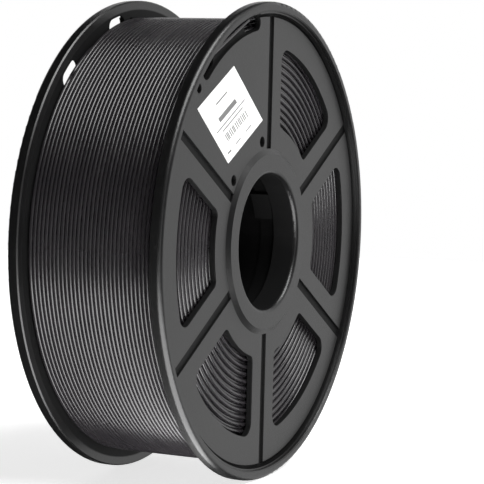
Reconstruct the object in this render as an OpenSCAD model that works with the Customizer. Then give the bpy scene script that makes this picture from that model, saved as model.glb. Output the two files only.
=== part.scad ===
// Filament spool: two moulded flanges snapped onto a hub core, full of wound
// filament. The origin is the centre of the spool. The spool turns about the
// Y axis, its labelled face looks towards -Y, and Z is up. Millimetres.

/* [Overall] */
// Outer diameter of both flanges
flange_d = 200; // [180:1:240]
// Width of the spool over both rims
spool_w = 68; // [56:1:90]
// Diameter of the central bore
bore_d = 57; // [45:0.5:60]

/* [Flange] */
// Thickness of the rim
rim_t = 5.2; // [4.4:0.1:8]
// Width of the raised rim, across its face
rim_face = 4; // [3:0.1:8]
// Radius of the rim's rounded outer edge
rim_round = 2; // [0.8:0.1:3]
// Thickness of the panel inside the rim
panel_t = 2.4; // [2:0.1:3.4]
// Width of the sunk channel between the rim and the panel
moat_w = 1; // [0.6:0.1:2]
// Width of the step halfway down the rim's inner wall
ledge_w = 0.8; // [0.4:0.1:1.5]
// Width of the six radial grooves
groove_w = 4.2; // [2:0.1:6]
// Depth of the grooves and of the sunk channel
groove_depth = 0.9; // [0.4:0.1:1.4]
// Angle of the first groove, measured from +X towards +Z
groove_angle = 30; // [0:0.1:59]

/* [Windows] */
// Radius of the inner edge of the viewing windows
window_in_r = 48.5; // [46:0.5:60]
// Radius of the outer edge of the viewing windows
window_out_r = 82; // [70:0.5:88]
// Distance from a groove's centre line to the side of a window
window_side = 10.5; // [6:0.5:14]
// Corner radius at the outer edge
window_round = 5.5; // [2:0.5:8]
// Corner radius at the inner edge
window_round_in = 3; // [1:0.5:5]

/* [Tail slot and holes] */
// Inner radius of the curved channel that holds the loose end
slot_in_r = 88.6; // [84:0.1:91]
// Outer radius of that channel
slot_out_r = 95.6; // [93:0.1:95.9]
// Angle at which the channel starts
slot_start = 97; // [90:0.5:110]
// Angle at which the channel ends
slot_end = 132.5; // [112:0.5:136]
// Depth of the channel, between the two holes at its ends
slot_depth = 1.5; // [0.8:0.1:1.8]
// Angle that each of those two holes spans
slot_hole_span = 8.5; // [6:0.5:12]
// Diameter of the small tie hole beyond the channel
tie_hole_d = 4; // [2.5:0.1:5]
// Angle of the tie hole
tie_hole_angle = 136; // [134:0.5:140]
// Diameter of the two small holes beside the boss
hub_hole_d = 4.6; // [3:0.1:5]
// Radius at which those two holes lie
hub_hole_r = 42.4; // [41:0.1:43]
// Angle of each of those holes from the middle of the labelled panel
hub_hole_spread = 21; // [12:0.5:22]

/* [Hub] */
// Outer diameter of the raised boss around the bore
boss_d = 78; // [74:0.5:81]
// Height of the boss above the panel
boss_h = 1.4; // [0.6:0.1:2.4]
// Width of the slope around the boss
boss_slope = 2.2; // [0.5:0.1:3]
// Radius of the rounded mouth of the bore
lip_round = 1.8; // [0.5:0.1:2.4]
// Wall of the collar that lines each end of the bore
collar_wall = 2.4; // [1.6:0.1:3]
// Length of the collar behind the flange
collar_l = 7.8; // [5:0.1:12]
// Diameter of the drum that the filament is wound on
drum_d = 92; // [88:0.5:93]
// Wall of the drum
drum_wall = 2.2; // [1.6:0.1:3]
// Wall of the core's inner tube
core_wall = 2.8; // [2.4:0.1:3.2]
// Thickness of the webs between the drum and the inner tube
web_t = 1.8; // [1.2:0.1:3]
// Number of webs in the core
web_count = 6; // [4:1:8]

/* [Snap fingers] */
// Number of snap fingers on each collar
finger_count = 3; // [2:1:4]
// Angle that each finger spans
finger_span = 24; // [16:1:30]
// Length of each finger beyond the collar
finger_l = 8.6; // [6:0.1:10]
// Thickness of each finger
finger_t = 1.5; // [1:0.1:1.8]
// How far each barb stands out
barb = 0.9; // [0.5:0.1:1.1]

/* [Filament] */
// Diameter of the filament
filament_d = 1.75; // [1.75:0.05:1.85]
// Outer diameter of the wound filament
winding_d = 186; // [150:1:187]

/* [Label] */
// Long diagonal of the diamond label
label_long = 60; // [30:1:64]
// Short diagonal of the diamond label
label_short = 39; // [20:1:42]
// Thickness of the label
label_t = 0.2; // [0.1:0.05:0.4]
// Radius at which the label's centre lies
label_r = 64.9; // [58:0.1:66]
// Angle at which the label's centre lies
label_place = 124.9; // [116:0.1:126]
// Angle between the long diagonal and the X axis
label_turn = -4.4; // [-20:0.1:20]

/* [Hidden] */
$fn = 128;

moulding_grey = [0.10, 0.10, 0.105];
core_black = [0.06, 0.06, 0.065];
filament_grey = [0.16, 0.155, 0.165];
paper_white = [0.96, 0.96, 0.95];

slack = 0.15;      // gap between parts that slide together
side_gap = 0.3;    // gap between the wound filament and each flange
edge_chamfer = 0.5;
thin = 0.01;       // overlap that keeps cuts clean
reach = 40;        // length of a cut that passes through anything

// Number of straight steps in each drawn arc
corner_out_steps = 10;
corner_in_steps = 6;
window_out_steps = 26;
window_in_steps = 14;
slot_side_steps = 20;
slot_hole_steps = 6;
slot_end_steps = 12;
slot_step = 0.3;   // the holes are this much narrower than the channel

flange_r = flange_d / 2;
bore_r = bore_d / 2;
half_w = spool_w / 2;
inner_y = half_w - rim_t;
sector = 60;
sector_count = 6;
label_sector = 1;
panel_angle = groove_angle + sector * (label_sector + 0.5);
flip_angle = 116.8;  // the rear flange is the front one turned over about this

rim_in_r = flange_r - rim_face;
ledge_r = rim_in_r - ledge_w;
panel_r = ledge_r - moat_w;
ledge_z = (rim_t + panel_t) / 2;
moat_z = panel_t - groove_depth;
boss_r = boss_d / 2;
boss_z = panel_t + boss_h;
collar_r = bore_r + collar_wall;

drum_r = drum_d / 2;
drum_in_r = drum_r - drum_wall;
core_in_r = collar_r + slack;
core_out_r = core_in_r + core_wall;
core_half = inner_y - slack;
barb_tip = 0.2;        // how far the barb stands out at its very end
barb_lead = 0.9;       // length of the barb's sloped lead-in
barb_land = 0.4;       // length of the flat on the barb
finger_offset = 0.25;  // turn of the first finger, as a share of the pitch
catch_y = inner_y - collar_l - finger_l + barb_lead + barb_land + 2 * slack;
catch_r = core_in_r + barb + slack;
spigot_wall = 1.6;
spigot_h = 2.5;
web_half = inner_y - spigot_h - slack;
web_root = 0.8;        // how deep each web runs into the walls it joins

winding_r = winding_d / 2;
winding_half = inner_y - side_gap;

// Turns a shape built along +Z so that +Z becomes -Y.
module face_front() {
    translate([0, -inner_y, 0])
        rotate([90, 0, 0])
            children();
}

// The flange's section, as radius and height above its inner face.
module flange_section() {
    lip_c = bore_r + lip_round;
    rim_c = flange_r - rim_round;
    polygon([
        [bore_r, edge_chamfer - collar_l],
        [bore_r, boss_z - lip_round],
        [lip_c, boss_z - lip_round],
        [lip_c, boss_z],
        [boss_r - boss_slope, boss_z],
        [boss_r, panel_t],
        [panel_r - edge_chamfer, panel_t],
        [panel_r, panel_t - edge_chamfer],
        [panel_r, moat_z],
        [ledge_r, moat_z],
        [ledge_r, ledge_z],
        [rim_in_r, ledge_z],
        [rim_in_r, rim_t - edge_chamfer],
        [rim_in_r + edge_chamfer, rim_t],
        [rim_c, rim_t],
        [rim_c, rim_t - rim_round],
        [flange_r, rim_t - rim_round],
        [flange_r, edge_chamfer],
        [flange_r - edge_chamfer, 0],
        [collar_r, 0],
        [collar_r, edge_chamfer - collar_l],
        [collar_r - edge_chamfer, -collar_l],
        [bore_r + edge_chamfer, -collar_l]
    ]);
    translate([lip_c, boss_z - lip_round])
        circle(lip_round);
    translate([rim_c, rim_t - rim_round])
        circle(rim_round);
}

// A flat ring, from z0 up to z1.
module ring(r_in, r_out, z0, z1) {
    difference() {
        translate([0, 0, z0])
            cylinder(r = r_out, h = z1 - z0);
        translate([0, 0, z0 - thin])
            cylinder(r = r_in, h = z1 - z0 + 2 * thin);
    }
}

// A wedge from angle a0 to a1 that reaches past radius r.
module wedge(a0, a1, r, z0, z1) {
    far = r / cos((a1 - a0) / 2) + 1;
    translate([0, 0, z0])
        linear_extrude(z1 - z0)
            polygon([
                [0, 0],
                [far * cos(a0), far * sin(a0)],
                [far * cos(a1), far * sin(a1)]
            ]);
}

// Points of an arc around a centre, without its two ends if skip is 1.
function arc(centre, r, a0, a1, n, skip = 0) = [
    for (i = [skip : n - skip])
        let (a = a0 + (a1 - a0) * i / n)
            centre + r * [cos(a), sin(a)]
];

function reversed(list) = [for (i = [len(list) - 1 : -1 : 0]) list[i]];

// The same point beside the sector's other groove.
function across(p) = [
    p.x * cos(sector) + p.y * sin(sector),
    p.x * sin(sector) - p.y * cos(sector)
];

// Centre of a window's corner of radius c. side is 1 at the outer arc, of
// radius r, and -1 at the inner one.
function corner_centre(r, c, side) =
    let (v = window_side + c)
        [sqrt(pow(r - side * c, 2) - v * v), v];

module window_cut() {
    outer = corner_centre(window_out_r, window_round, 1);
    inner = corner_centre(window_in_r, window_round_in, -1);
    outer_a = atan2(outer.y, outer.x);
    inner_a = atan2(inner.y, inner.x);
    first_side = concat(
        arc(outer, window_round, outer_a, -90, corner_out_steps),
        arc(inner, window_round_in, -90, inner_a - 180, corner_in_steps));
    second_side = reversed([for (p = first_side) across(p)]);
    linear_extrude(reach, center = true)
        polygon(concat(
            first_side,
            arc([0, 0], window_in_r, inner_a, sector - inner_a,
                window_in_steps, 1),
            second_side,
            arc([0, 0], window_out_r, sector - outer_a, outer_a,
                window_out_steps, 1)));
}

// A curved slot from angle a_from to a_to, with a round end at each end.
module slot_shape(a_from, a_to, inset, steps) {
    mid_r = (slot_in_r + slot_out_r) / 2;
    end_r = (slot_out_r - slot_in_r) / 2 - inset;
    a0 = a_from + asin((end_r + inset) / mid_r);
    a1 = a_to - asin((end_r + inset) / mid_r);
    polygon(concat(
        arc([0, 0], mid_r + end_r, a0, a1, steps),
        arc(mid_r * [cos(a1), sin(a1)], end_r, a1, a1 + 180,
            slot_end_steps, 1),
        arc([0, 0], mid_r - end_r, a1, a0, steps),
        arc(mid_r * [cos(a0), sin(a0)], end_r, a0 + 180, a0 + 360,
            slot_end_steps, 1)));
}

// The channel for the loose end, and the hole through each of its ends.
module slot_cut() {
    translate([0, 0, panel_t - slot_depth])
        linear_extrude(reach)
            slot_shape(slot_start, slot_end, 0, slot_side_steps);
    for (a = [slot_start, slot_end - slot_hole_span])
        linear_extrude(reach, center = true)
            slot_shape(a, a + slot_hole_span, slot_step, slot_hole_steps);
}

module groove_cut() {
    end_r = panel_r + moat_w / 2;
    translate([boss_r, -groove_w / 2, moat_z])
        cube([end_r - boss_r, groove_w, reach]);
}

// One snap finger: a strip of the collar's wall with a barb on its end.
module finger() {
    out_r = collar_r - slack;
    z_end = -collar_l - finger_l;
    z_barb = z_end + barb_lead;
    intersection() {
        union() {
            ring(out_r - finger_t, out_r, z_end, edge_chamfer - collar_l);
            rotate_extrude()
                polygon([
                    [out_r - thin, z_end],
                    [out_r + barb_tip, z_end],
                    [out_r + barb, z_barb],
                    [out_r + barb, z_barb + barb_land],
                    [out_r - thin, z_barb + barb_land]
                ]);
        }
        wedge(-finger_span / 2, finger_span / 2, flange_r, -reach, 0);
    }
}

// The flange, standing on its inner face.
module flange() {
    difference() {
        union() {
            rotate_extrude()
                flange_section();
            ring(drum_in_r - slack - spigot_wall, drum_in_r - slack,
                 -spigot_h, thin);
            for (i = [0 : finger_count - 1])
                rotate([0, 0, flip_angle
                        + 360 / finger_count * (i + finger_offset)])
                    finger();
        }
        for (i = [0 : sector_count - 1])
            rotate([0, 0, groove_angle + sector * i]) {
                groove_cut();
                if (i != label_sector)
                    window_cut();
            }
        slot_cut();
        rotate([0, 0, tie_hole_angle])
            translate([(slot_in_r + panel_r) / 2, 0, 0])
                cylinder(d = tie_hole_d, h = reach, center = true);
        for (s = [-1, 1])
            rotate([0, 0, panel_angle + s * hub_hole_spread])
                translate([hub_hole_r, 0, 0])
                    cylinder(d = hub_hole_d, h = reach, center = true);
    }
}

module front_flange() {
    color(moulding_grey)
        face_front()
            flange();
}

// The same moulding, turned over, so that its fingers miss the core's webs.
module rear_flange() {
    color(moulding_grey)
        rotate(180, [cos(flip_angle), 0, sin(flip_angle)])
            face_front()
                flange();
}

// The core: the drum, the inner tube that the collars plug into, and webs.
module hub_core() {
    color(core_black)
        rotate([90, 0, 0]) {
            ring(drum_in_r, drum_r, -core_half, core_half);
            difference() {
                ring(core_in_r, core_out_r, -core_half, core_half);
                ring(bore_r, catch_r, -catch_y, catch_y);
            }
            for (i = [0 : web_count - 1])
                rotate([0, 0, flip_angle + 180 / web_count
                        + 360 / web_count * i])
                    translate([core_out_r - web_root, -web_t / 2, -web_half])
                        cube([drum_in_r - core_out_r + 2 * web_root, web_t,
                              2 * web_half]);
        }
}

module filament_winding() {
    color(filament_grey)
        rotate([90, 0, 0])
            ring(drum_r, winding_r, -winding_half, winding_half);
}

// Route of the loose end: off the winding, out through the first hole,
// straight along the channel, and back in. Each point is radius, angle and Y.
tail_gap = 0.1;    // the loose end lies this far above the winding
slot_gap = 0.75;   // and this far inside the channel's outer side
floor_gap = 0.05;  // and this far above the channel's floor
tail_r = winding_r + filament_d / 2 + tail_gap;
tail_out_r = slot_out_r - filament_d / 2 - slot_gap;
tail_out_y = -(inner_y + panel_t - slot_depth + filament_d / 2 + floor_gap);
tail_edge_y = -(inner_y - filament_d / 2 - slack);
tail_in_y = -(winding_half - filament_d);
tail_start = 58;
tail_drift = 80;   // where it starts to drift towards the flange
tail_enter = slot_start + 1.2;
tail_first = slot_start + slot_hole_span - 0.9;
tail_last = slot_end - slot_hole_span + 0.9;
tail_leave = slot_end - 1.2;
tail_end = slot_end + 5;
tail_sides = 8;
chord_half = (tail_last - tail_first) / 2;
chord_mid = (tail_last + tail_first) / 2;

function polar(r, a, y) = [r * cos(a), y, r * sin(a)];

function ease(t) = t * t * (3 - 2 * t);

// A run in n steps from angle a0, radius r0 and y0 to angle a1, r1 and y1.
function along(a0, a1, r0, r1, y0, y1, n, skip = 0) = [
    for (i = [skip : n - 1 + skip])
        polar(r0 + (r1 - r0) * ease(i / n), a0 + (a1 - a0) * i / n,
              y0 + (y1 - y0) * ease(i / n))
];

// A straight run between two points at the same radius.
function along_chord(n) = [
    for (i = [0 : n])
        let (a = chord_half * (2 * i / n - 1))
            polar(tail_out_r * cos(chord_half) / cos(a), chord_mid + a,
                  tail_out_y)
];

tail_route = concat(
    along(tail_start, tail_drift, tail_r, tail_r, tail_in_y, tail_in_y, 8),
    along(tail_drift, tail_enter, tail_r, tail_out_r, tail_in_y, tail_edge_y, 7),
    along(tail_enter, tail_first, tail_out_r, tail_out_r, tail_edge_y,
          tail_out_y, 8),
    along_chord(14),
    along(tail_last, tail_leave, tail_out_r, tail_out_r, tail_out_y,
          tail_edge_y, 8, 1),
    along(tail_leave, tail_end, tail_out_r, tail_r, tail_edge_y, tail_in_y,
          4, 1));

// A tube with flat sides swept along a list of points.
module tube_along(route, d, sides) {
    last = len(route) - 1;
    dirs = [for (i = [0 : last])
        let (v = route[min(i + 1, last)] - route[max(i - 1, 0)])
            v / norm(v)];
    rings = [for (i = [0 : last])
        let (a = cross([0, 1, 0], dirs[i]),
             u = a / norm(a),
             w = cross(dirs[i], u))
            for (k = [0 : sides - 1])
                route[i] + d / 2 * (u * cos(360 * k / sides)
                                    + w * sin(360 * k / sides))];
    walls = [for (i = [0 : last - 1], k = [0 : sides - 1])
        let (n = (k + 1) % sides)
            [i * sides + k, i * sides + n,
             (i + 1) * sides + n, (i + 1) * sides + k]];
    first_cap = [[for (k = [0 : sides - 1]) sides - 1 - k]];
    last_cap = [[for (k = [0 : sides - 1]) last * sides + k]];
    polyhedron(points = rings, faces = concat(first_cap, walls, last_cap));
}

module filament_tail() {
    color(filament_grey)
        tube_along(tail_route, filament_d, tail_sides);
}

module label() {
    l = label_long / 2;
    s = label_short / 2;
    color(paper_white)
        face_front()
            rotate([0, 0, label_place])
                translate([label_r, 0, panel_t])
                    rotate([0, 0, label_turn - label_place])
                        linear_extrude(label_t)
                            polygon([[l, 0], [0, s], [-l, 0], [0, -s]]);
}

front_flange();
rear_flange();
hub_core();
filament_winding();
filament_tail();
label();
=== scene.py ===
import math

import bpy
import numpy as np
from mathutils import Matrix, Vector


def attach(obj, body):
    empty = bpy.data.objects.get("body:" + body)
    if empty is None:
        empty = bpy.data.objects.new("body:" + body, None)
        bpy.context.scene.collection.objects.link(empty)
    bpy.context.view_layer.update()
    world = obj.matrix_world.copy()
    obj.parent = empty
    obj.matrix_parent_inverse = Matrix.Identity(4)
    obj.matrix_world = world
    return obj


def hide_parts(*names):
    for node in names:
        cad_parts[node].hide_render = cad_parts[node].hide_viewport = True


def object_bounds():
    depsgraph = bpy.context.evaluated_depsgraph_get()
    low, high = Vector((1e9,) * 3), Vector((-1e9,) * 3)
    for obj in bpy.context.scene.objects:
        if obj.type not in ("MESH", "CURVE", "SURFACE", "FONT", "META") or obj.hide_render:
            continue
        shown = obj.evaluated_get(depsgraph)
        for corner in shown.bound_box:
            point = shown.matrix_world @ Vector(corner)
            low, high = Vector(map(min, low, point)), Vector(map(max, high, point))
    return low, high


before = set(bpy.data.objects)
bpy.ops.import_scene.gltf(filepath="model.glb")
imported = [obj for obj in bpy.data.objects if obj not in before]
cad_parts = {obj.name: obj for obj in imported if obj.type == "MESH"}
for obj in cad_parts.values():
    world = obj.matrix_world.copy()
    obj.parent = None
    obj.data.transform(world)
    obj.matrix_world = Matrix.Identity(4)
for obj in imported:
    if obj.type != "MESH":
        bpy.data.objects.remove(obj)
cad_box = [list(p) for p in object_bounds()]
MM = 0.001


# ---------------------------------------------------------------- camera
CAMERA_AT = (-0.75754, -0.38040, 0.06523)
CAMERA_RIGHT = (0.43137, -0.90183, 0.02515)
CAMERA_BACK = (-0.90018, -0.42839, 0.07846)
LENS = 148.4              # mm
SENSOR = 36.0             # mm
CLIP = (0.01, 50.0)


def make_camera():
    """The camera looks at the winding's side, with the labelled flange on the right."""
    right = Vector(CAMERA_RIGHT).normalized()
    back = Vector(CAMERA_BACK)
    back = (back - right * back.dot(right)).normalized()
    up = back.cross(right)
    data = bpy.data.cameras.new("camera")
    data.lens = LENS
    data.sensor_width = SENSOR
    data.clip_start, data.clip_end = CLIP
    cam = bpy.data.objects.new("camera", data)
    bpy.context.scene.collection.objects.link(cam)
    m = Matrix((right, up, back)).transposed().to_4x4()
    m.translation = Vector(CAMERA_AT)
    cam.matrix_world = m
    bpy.context.scene.camera = cam


make_camera()


# ------------------------------------------------------------- materials
class Nodes:
    """Short calls for building a node material."""

    def __init__(self, name):
        self.mat = bpy.data.materials.new(name)
        self.mat.use_nodes = True
        self.tree = self.mat.node_tree
        self.tree.nodes.clear()
        self.out = self.add("ShaderNodeOutputMaterial")
        self.bsdf = self.add("ShaderNodeBsdfPrincipled")
        self.link(self.bsdf, "BSDF", self.out, "Surface")
        self.coord = self.add("ShaderNodeTexCoord")

    def add(self, kind, **props):
        n = self.tree.nodes.new(kind)
        for k, v in props.items():
            setattr(n, k, v)
        return n

    def link(self, a, out, b, inp):
        self.tree.links.new(a.outputs[out], b.inputs[inp])

    def math(self, op, a, b=None, c=None):
        n = self.add("ShaderNodeMath", operation=op)
        for i, v in enumerate((a, b, c)):
            if v is None:
                continue
            if isinstance(v, (int, float)):
                n.inputs[i].default_value = v
            else:
                self.tree.links.new(v, n.inputs[i])
        return n.outputs[0]

    def noise(self, vector, scale, detail=4.0, rough=0.55):
        n = self.add("ShaderNodeTexNoise")
        n.inputs["Scale"].default_value = scale
        n.inputs["Detail"].default_value = detail
        n.inputs["Roughness"].default_value = rough
        self.tree.links.new(vector, n.inputs["Vector"])
        return n.outputs["Fac"]

    def span(self, fac, lo, hi, a=0.0, b=1.0):
        n = self.add("ShaderNodeMapRange")
        for key, v in (("From Min", lo), ("From Max", hi), ("To Min", a), ("To Max", b)):
            n.inputs[key].default_value = v
        self.tree.links.new(fac, n.inputs["Value"])
        return n.outputs["Result"]

    def mix(self, fac, a, b):
        n = self.add("ShaderNodeMix", data_type="RGBA")
        self.tree.links.new(fac, n.inputs["Factor"])
        for key, v in (("A", a), ("B", b)):
            s = [i for i in n.inputs if i.name == key and i.type == "RGBA"][0]
            if isinstance(v, tuple):
                s.default_value = rgba(v)
            else:
                self.tree.links.new(v, s)
        return [o for o in n.outputs if o.type == "RGBA"][0]

    def bump(self, height, strength, distance, normal=None):
        n = self.add("ShaderNodeBump")
        n.inputs["Strength"].default_value = strength
        n.inputs["Distance"].default_value = distance
        self.tree.links.new(height, n.inputs["Height"])
        if normal is not None:
            self.tree.links.new(normal, n.inputs["Normal"])
        return n.outputs["Normal"]

    def split(self, vector):
        n = self.add("ShaderNodeSeparateXYZ")
        self.tree.links.new(vector, n.inputs[0])
        return n.outputs[0], n.outputs[1], n.outputs[2]

    def join(self, x, y, z):
        n = self.add("ShaderNodeCombineXYZ")
        for i, v in enumerate((x, y, z)):
            self.tree.links.new(v, n.inputs[i])
        return n.outputs[0]

    def add_up(self, *terms):
        """Sum of value * factor pairs."""
        total = None
        for value, factor in terms:
            part = self.math("MULTIPLY", value, factor)
            total = part if total is None else self.math("ADD", total, part)
        return total

    def radius(self, x, z):
        """Distance from the spool's axis."""
        return self.math("SQRT", self.math("ADD", self.math("MULTIPLY", x, x),
                                           self.math("MULTIPLY", z, z)))

    def plug(self, value, socket):
        self.tree.links.new(value, self.bsdf.inputs[socket])

    def fix(self, socket, value):
        self.bsdf.inputs[socket].default_value = value


def rgba(c):
    return (c[0], c[1], c[2], 1.0)


def dress(node, mat):
    """Give a CAD node its material; the mesh stays as it is."""
    node.data.materials.clear()
    node.data.materials.append(mat)


NOISE_MID = (0.3, 0.7)                # where most of a noise's values lie
WORN_EDGE = (0.0975, 0.1003)          # radius over which the rim's outer edge gets scuffed
WORN_SPOTS = (0.58, 0.72)
WORN_SHARE = 0.55
SUNK_Y = (0.0305, 0.0311)             # distance from the middle at which a recess begins
SUNK_R = (0.0960, 0.0966)             # recesses lie inside this radius
# Painted shade in the recesses: how much rougher and how much less specular they are made, so that
# they read darker.
SUNK_SHADE_ROUGHER = 0.30
SUNK_SHADE_DULLING = 0.72


def moulded(name, dark, light, rough_lo, rough_hi, specular, shade_recesses=False):
    """Moulded plastic: fine spark-eroded grain, faint flow, scuffed outer edges, and optionally
    painted shade in the recesses (lower specular level, higher roughness).
    """
    m = Nodes(name)
    p = m.coord.outputs["Object"]
    x, y, z = m.split(p)
    r = m.radius(x, z)
    flow = m.noise(p, 28.0, 3.0)
    grain = m.noise(p, 2600.0, 2.0, 0.6)
    fine = m.noise(p, 900.0, 3.0, 0.6)
    scuff = m.noise(p, 420.0, 5.0, 0.7)
    worn = m.math("MULTIPLY", m.span(scuff, *WORN_SPOTS), m.span(r, *WORN_EDGE))
    worn_col = tuple(min(1.0, c * 2.2 + 0.02) for c in light)
    base = m.mix(m.span(flow, *NOISE_MID), dark, light)
    m.plug(m.mix(m.math("MULTIPLY", worn, WORN_SHARE), base, worn_col), "Base Color")
    rough = m.span(m.add_up((flow, 0.5), (fine, 0.5)), *NOISE_MID, rough_lo, rough_hi)
    m.fix("Specular IOR Level", specular)
    # Painted shade: inside the recesses the specular level drops and the roughness rises, so the
    # grooves, moat and channel look darker.
    if shade_recesses:
        low = m.span(m.math("ABSOLUTE", y), *SUNK_Y, 1.0, 0.0)
        recess_shade = m.math("MULTIPLY", low, m.span(r, *SUNK_R, 1.0, 0.0))
        rough = m.math("MULTIPLY_ADD", recess_shade, SUNK_SHADE_ROUGHER, rough)
        m.plug(m.math("MULTIPLY_ADD", recess_shade, -SUNK_SHADE_DULLING * specular, specular),
               "Specular IOR Level")
    m.plug(rough, "Roughness")
    n = m.bump(grain, 0.35, 0.00012)
    m.plug(m.bump(fine, 0.18, 0.0002, n), "Normal")
    return m.mat


def drawn_filament(name):
    """Satin extruded strand: draw lines run along it, tone and gloss differ between turns."""
    m = Nodes(name)
    x, y, z = m.split(m.coord.outputs["Object"])
    r = m.radius(x, z)
    a = m.math("ARCTAN2", z, x)
    ring = m.join(m.math("MULTIPLY", m.math("COSINE", a), 0.08), y,
                  m.math("MULTIPLY", m.math("SINE", a), 0.08))
    draw = m.noise(m.join(r, y, m.math("MULTIPLY", a, 0.004)), 5200.0, 2.0, 0.6)
    drift = m.noise(ring, 55.0, 3.0)
    speck = m.noise(m.coord.outputs["Object"], 1500.0, 2.0)
    turn = m.noise(m.join(m.math("MULTIPLY", a, 0.0008), y, r), 430.0, 1.0)
    m.plug(m.mix(m.span(drift, *NOISE_MID), (0.012, 0.011, 0.0125), (0.018, 0.0162, 0.018)),
           "Base Color")
    m.plug(m.span(m.add_up((draw, 0.3), (turn, 0.7)), *NOISE_MID, 0.20, 0.32), "Roughness")
    n = m.bump(draw, 0.12, 0.00004)
    m.plug(m.bump(speck, 0.06, 0.00005, n), "Normal")
    m.fix("Specular IOR Level", 0.6)
    return m.mat


# The flange material gets the painted shade in its recesses.
flange_mat = moulded("moulded_grey", (0.0034, 0.0034, 0.0035), (0.0052, 0.0052, 0.0053),
                     0.28, 0.37, 0.5, shade_recesses=True)
core_mat = moulded("moulded_core", (0.0018, 0.0018, 0.0019), (0.0030, 0.0030, 0.0031),
                   0.66, 0.76, 0.084)
strand_mat = drawn_filament("drawn_filament")

for node_name, mat in (("front_flange", flange_mat), ("rear_flange", flange_mat),
                       ("hub_core", core_mat)):
    dress(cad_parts[node_name], mat)


# --------------------------------------------------------------- winding
STRAND_R = 0.875 * MM
PITCH = 1.78 * MM
LAYER_STEP = 1.5068 * MM
FIRST_R = 46.875 * MM
LAYERS = 31
WIDE_TURNS = 32          # turns in an even layer; an odd one has one fewer
STEP = math.radians(3.75)
TURN_STEPS = 96          # steps in a whole turn
JOG_STEPS = 9            # of them, the steps in which it moves over to the next turn
COARSE = 3               # steps that a hidden turn takes at once
HIDDEN_STEPS = TURN_STEPS // COARSE
OUTER_STEPS = 2 * TURN_STEPS
JOG_START = math.radians(99.75)
TURN_START = JOG_START + JOG_STEPS * STEP
TAIL_START = math.radians(60.0)
HIDDEN_SIDES = 8
OUTER_SIDES = 10
TAIL_SIDES = 14
HIDDEN_GROUP = 6         # layers in one mesh


def ease(t):
    return t * t * (3 - 2 * t)


def turn_y(layer, j):
    """Y of turn j, counted from the front flange."""
    count = WIDE_TURNS if layer % 2 == 0 else WIDE_TURNS - 1
    return (j - (count - 1) / 2) * PITCH


def layer_turns(layer):
    """Turn numbers in the order they are wound: even layers run from rear to front."""
    if layer % 2 == 0:
        return list(range(WIDE_TURNS - 1, -1, -1))
    return list(range(WIDE_TURNS - 1))


def layer_r(layer):
    return FIRST_R + LAYER_STEP * layer


def turn_points(layer, j, nxt, steps):
    """Centre line of one turn: a circle, then a jog towards the next turn (layer, number).

    The last turn has no next one, and ends where the loose end begins.
    """
    r0, y0 = layer_r(layer), turn_y(layer, j)
    d = STEP * TURN_STEPS / steps
    if nxt is None:
        count = int((TAIL_START + 2 * math.pi - TURN_START) / d + 1e-6) + 1
        return [(TURN_START + i * d, r0, y0) for i in range(count)]
    r1, y1 = layer_r(nxt[0]), turn_y(*nxt)
    jog = JOG_STEPS * steps // TURN_STEPS
    flat = steps - jog
    pts = [(TURN_START + i * d, r0, y0) for i in range(flat)]
    for i in range(jog):
        t = ease(i / jog)
        pts.append((TURN_START + (flat + i) * d, r0 + (r1 - r0) * t, y0 + (y1 - y0) * t))
    return pts


def strand_mesh(name, pts, sides):
    """A round strand along points given as angle, radius and Y, with closed ends."""
    p = np.array(pts, float)
    n = len(p)
    f = np.arange(sides) * 2 * math.pi / sides
    rr = p[:, 1:2] + STRAND_R * np.cos(f)[None, :]
    yy = p[:, 2:3] + STRAND_R * np.sin(f)[None, :]
    co = np.stack([rr * np.cos(p[:, 0:1]), yy, rr * np.sin(p[:, 0:1])], -1).reshape(-1, 3)
    i = np.arange(n - 1)[:, None] * sides
    k = np.arange(sides)[None, :]
    k1 = (k + 1) % sides
    quads = np.stack([i + k, i + sides + k, i + sides + k1, i + k1], -1).reshape(-1, 4)
    faces = quads.tolist()
    faces.append(list(range(sides)))
    faces.append([(n - 1) * sides + q for q in reversed(range(sides))])
    me = bpy.data.meshes.new(name)
    me.from_pydata(co.tolist(), [], faces)
    me.polygons.foreach_set("use_smooth", [True] * len(faces))
    me.update()
    me.materials.append(strand_mat)
    ob = bpy.data.objects.new(name, me)
    bpy.context.scene.collection.objects.link(ob)
    return ob


def wound_points(first, last, end_steps, mid_steps):
    """The strand through the layers first to last; the turns at each side show in the windows."""
    pts = []
    for layer in range(first, last + 1):
        order = layer_turns(layer)
        for q, j in enumerate(order):
            nxt = None
            if q + 1 < len(order):
                nxt = (layer, order[q + 1])
            elif layer + 1 < LAYERS:
                nxt = (layer + 1, layer_turns(layer + 1)[0])
            at_side = j == 0 or q == 0 or q == len(order) - 1
            pts += turn_points(layer, j, nxt, end_steps if at_side else mid_steps)
    if last + 1 < LAYERS:
        pts.append((TURN_START, layer_r(last + 1), turn_y(last + 1, layer_turns(last + 1)[0])))
    return pts


def make_winding():
    outer = LAYERS - 1
    made = []
    for first in range(0, outer, HIDDEN_GROUP):
        last = first + HIDDEN_GROUP - 1
        pts = wound_points(first, last, TURN_STEPS, HIDDEN_STEPS)
        made.append(strand_mesh(f"wound_layers_{first + 1:02d}_{last + 1:02d}", pts, HIDDEN_SIDES))
    pts = wound_points(outer, outer, OUTER_STEPS, OUTER_STEPS)
    made.append(strand_mesh("wound_layer_outer", pts, OUTER_SIDES))
    for ob in made:
        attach(ob, "root")
        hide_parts("filament_winding")


make_winding()


# ------------------------------------------------------------ loose end
TAIL_R = 93.975 * MM      # radius of the channel's straight stretch at its ends
TAIL_EDGE_Y = -27.775 * MM
TAIL_OUT_Y = -30.625 * MM
TAIL_END_Y = -26.75 * MM
TAIL_ANGLES = (80.0, 98.2, 104.6, 124.9, 131.3, 137.5)
CHORD_STEPS = 24


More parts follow.
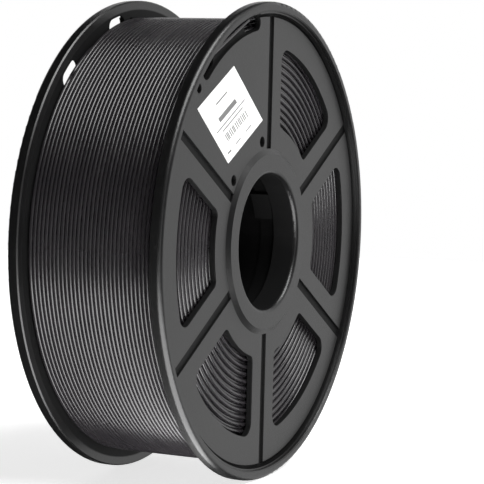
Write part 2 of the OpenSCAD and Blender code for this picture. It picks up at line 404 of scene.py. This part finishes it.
def make_tail():
    """The strand's last stretch: off the outer layer, out through the channel, and back in."""
    outer_r, y_in = layer_r(LAYERS - 1), turn_y(LAYERS - 1, 0)
    lift, enter, first, last, leave, end = (math.radians(a) for a in TAIL_ANGLES)
    half, mid = (last - first) / 2, (last + first) / 2
    pts = []

    def run(a0, a1, r0, r1, y0, y1, n, skip=0):
        for i in range(skip, n + skip):
            t = i / n
            pts.append((a0 + (a1 - a0) * t, r0 + (r1 - r0) * ease(t), y0 + (y1 - y0) * ease(t)))

    run(TAIL_START, lift, outer_r, outer_r, y_in, y_in, 16)
    run(lift, enter, outer_r, TAIL_R, y_in, TAIL_EDGE_Y, 20)
    run(enter, first, TAIL_R, TAIL_R, TAIL_EDGE_Y, TAIL_OUT_Y, 16)
    for i in range(CHORD_STEPS + 1):
        a = half * (2 * i / CHORD_STEPS - 1)
        pts.append((mid + a, TAIL_R * math.cos(half) / math.cos(a), TAIL_OUT_Y))
    run(last, leave, TAIL_R, TAIL_R, TAIL_OUT_Y, TAIL_EDGE_Y, 16, 1)
    run(leave, end, TAIL_R, TAIL_R, TAIL_EDGE_Y, TAIL_END_Y, 12, 1)
    ob = strand_mesh("loose_end", pts, TAIL_SIDES)
    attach(ob, "root")
    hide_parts("filament_tail")


make_tail()


# ---------------------------------------------------------------- label
LABEL_TURN = math.radians(-4.4)       # the long diagonal, from +X towards +Z
LABEL_LONG = 30.0         # half of the long diagonal, mm
LABEL_SHORT = 19.5        # half of the short one
LABEL_SIDE = 17.9         # half of a side
# Centre and half size of each mark, in mm along the sides.
LABEL_INK = (
    (-0.4, 11.1, 5.4, 0.4), (-0.8, 3.4, 8.4, 1.3), (-0.6, -0.4, 14.0, 0.32),
    (-0.6, -2.6, 10.0, 0.32), (-13.4, -13.9, 1.6, 0.5), (-4.6, -13.9, 2.4, 0.3),
    (6.0, -13.9, 2.8, 0.3))
# Plain upright bars: their places along the row, and their row, half width and half height.
LABEL_BARS = (-10.4, -9.2, -8.2, -6.6, -5.2, -3.6, -2.6, -0.6, 0.8, 2.4, 3.5, 5.0, 6.5, 7.7, 9.6)
BAR_ROW = (-6.9, 0.34, 2.1)
INK_SHARE = 0.86


def make_label():
    """Plain paper with blank rows and bars where a maker would print; no lettering."""
    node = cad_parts["label"]
    co = np.array([node.matrix_world @ v.co for v in node.data.vertices])
    cx, _, cz = (co.min(0) + co.max(0)) / 2
    m = Nodes("printed_paper")
    p = m.coord.outputs["Object"]
    fibre = m.noise(p, 1400.0, 4.0, 0.65)
    tone = m.noise(p, 60.0, 3.0)
    x, _, z = m.split(p)
    dx, dz = m.math("SUBTRACT", x, float(cx)), m.math("SUBTRACT", z, float(cz))
    c, s = math.cos(LABEL_TURN), math.sin(LABEL_TURN)
    lng = m.math("MULTIPLY", m.add_up((dx, c), (dz, s)), LABEL_SIDE / LABEL_LONG)
    sht = m.math("MULTIPLY", m.add_up((dx, -s), (dz, c)), LABEL_SIDE / LABEL_SHORT)
    u, v = m.math("ADD", sht, lng), m.math("SUBTRACT", sht, lng)
    row, half_w, half_h = BAR_ROW
    ink = None
    for a, b, w, h in LABEL_INK + tuple((a, row, half_w, half_h) for a in LABEL_BARS):
        box = m.math("MULTIPLY", m.math("COMPARE", u, a * MM, w * MM),
                     m.math("COMPARE", v, b * MM, h * MM))
        ink = box if ink is None else m.math("MAXIMUM", ink, box)
    paper = m.mix(m.span(tone, *NOISE_MID), (0.83, 0.83, 0.82), (0.88, 0.88, 0.87))
    m.plug(m.mix(m.math("MULTIPLY", ink, INK_SHARE), paper, (0.03, 0.03, 0.03)), "Base Color")
    m.plug(m.span(fibre, *NOISE_MID, 0.42, 0.6), "Roughness")
    m.plug(m.bump(fibre, 0.15, 0.00005), "Normal")
    dress(node, m.mat)


make_label()


# ---------------------------------------------------------------- stage
FLOOR_R = 1.1
FLOOR_SIDES = 96
FLOOR_DROP = 0.00005      # the floor lies this far under the rims
FLOOR_GLOW = 0.72
WORLD_LIGHT = 0.01        # what the surroundings give to everything but the camera
CENTRE = (0, 0, 0)
LOW_XY = (-0.22, -0.15)   # the low panel's place, from where it shines straight up
LOW_DROP = 0.03           # it lies this far under the floor


def softbox(name, at, target, size, radiance):
    """A rectangular soft light, size and place in metres, which the camera doesn't see."""
    data = bpy.data.lights.new(name, "AREA")
    data.shape = "RECTANGLE"
    data.size, data.size_y = size
    data.energy = radiance * math.pi * size[0] * size[1]
    ob = bpy.data.objects.new(name, data)
    ob.location = at
    ob.rotation_mode = "QUATERNION"
    ob.rotation_quaternion = (Vector(target) - Vector(at)).to_track_quat("-Z", "Y")
    ob.visible_camera = False
    bpy.context.scene.collection.objects.link(ob)


def make_floor(z):
    """A pale disc that isn't mirrored in the plastic and lets the low panel shine through."""
    rim = [(FLOOR_R * math.cos(a), FLOOR_R * math.sin(a), z)
           for a in np.linspace(0, 2 * math.pi, FLOOR_SIDES, endpoint=False)]
    me = bpy.data.meshes.new("floor")
    me.from_pydata(rim, [], [list(range(FLOOR_SIDES))])
    floor = bpy.data.objects.new("floor", me)
    bpy.context.scene.collection.objects.link(floor)
    m = Nodes("pale_floor")
    tone = m.noise(m.coord.outputs["Object"], 3.0, 2.0)
    m.plug(m.mix(tone, (0.80, 0.80, 0.80), (0.82, 0.82, 0.82)), "Base Color")
    m.fix("Roughness", 0.8)
    m.fix("Specular IOR Level", 0.2)
    m.fix("Emission Color", (1, 1, 1, 1))
    m.fix("Emission Strength", FLOOR_GLOW)
    me.materials.append(m.mat)
    floor.visible_glossy = False
    floor.visible_shadow = False


def make_world():
    """White to the camera, nearly dark to everything else."""
    world = bpy.data.worlds.new("world")
    world.use_nodes = True
    tree = world.node_tree
    bg = tree.nodes["Background"]
    bg.inputs["Color"].default_value = (1, 1, 1, 1)
    path = tree.nodes.new("ShaderNodeLightPath")
    pick = tree.nodes.new("ShaderNodeMapRange")
    pick.inputs["To Min"].default_value = WORLD_LIGHT
    pick.inputs["To Max"].default_value = 1.0
    tree.links.new(path.outputs["Is Camera Ray"], pick.inputs["Value"])
    tree.links.new(pick.outputs["Result"], bg.inputs["Strength"])
    bpy.context.scene.world = world


def make_stage():
    z = cad_box[0][2] - FLOOR_DROP
    make_floor(z)
    make_world()
    softbox("panel_key", (-0.06, -0.66, 1.0), CENTRE, (1.3, 0.6), 8.5)
    softbox("panel_front", (1.25, -0.55, 0.0), CENTRE, (2.2, 2.0), 0.86)
    softbox("panel_low", (*LOW_XY, z - LOW_DROP), (*LOW_XY, 1.0), (0.38, 0.28), 7.0)
    softbox("panel_left", (-0.62, -0.98, 0.0), CENTRE, (0.4, 0.5), 1.2)
    softbox("panel_back", (0.9, 1.1, 0.1), CENTRE, (1.8, 1.6), 0.9)
    bpy.context.scene.view_settings.view_transform = "Standard"


make_stage()
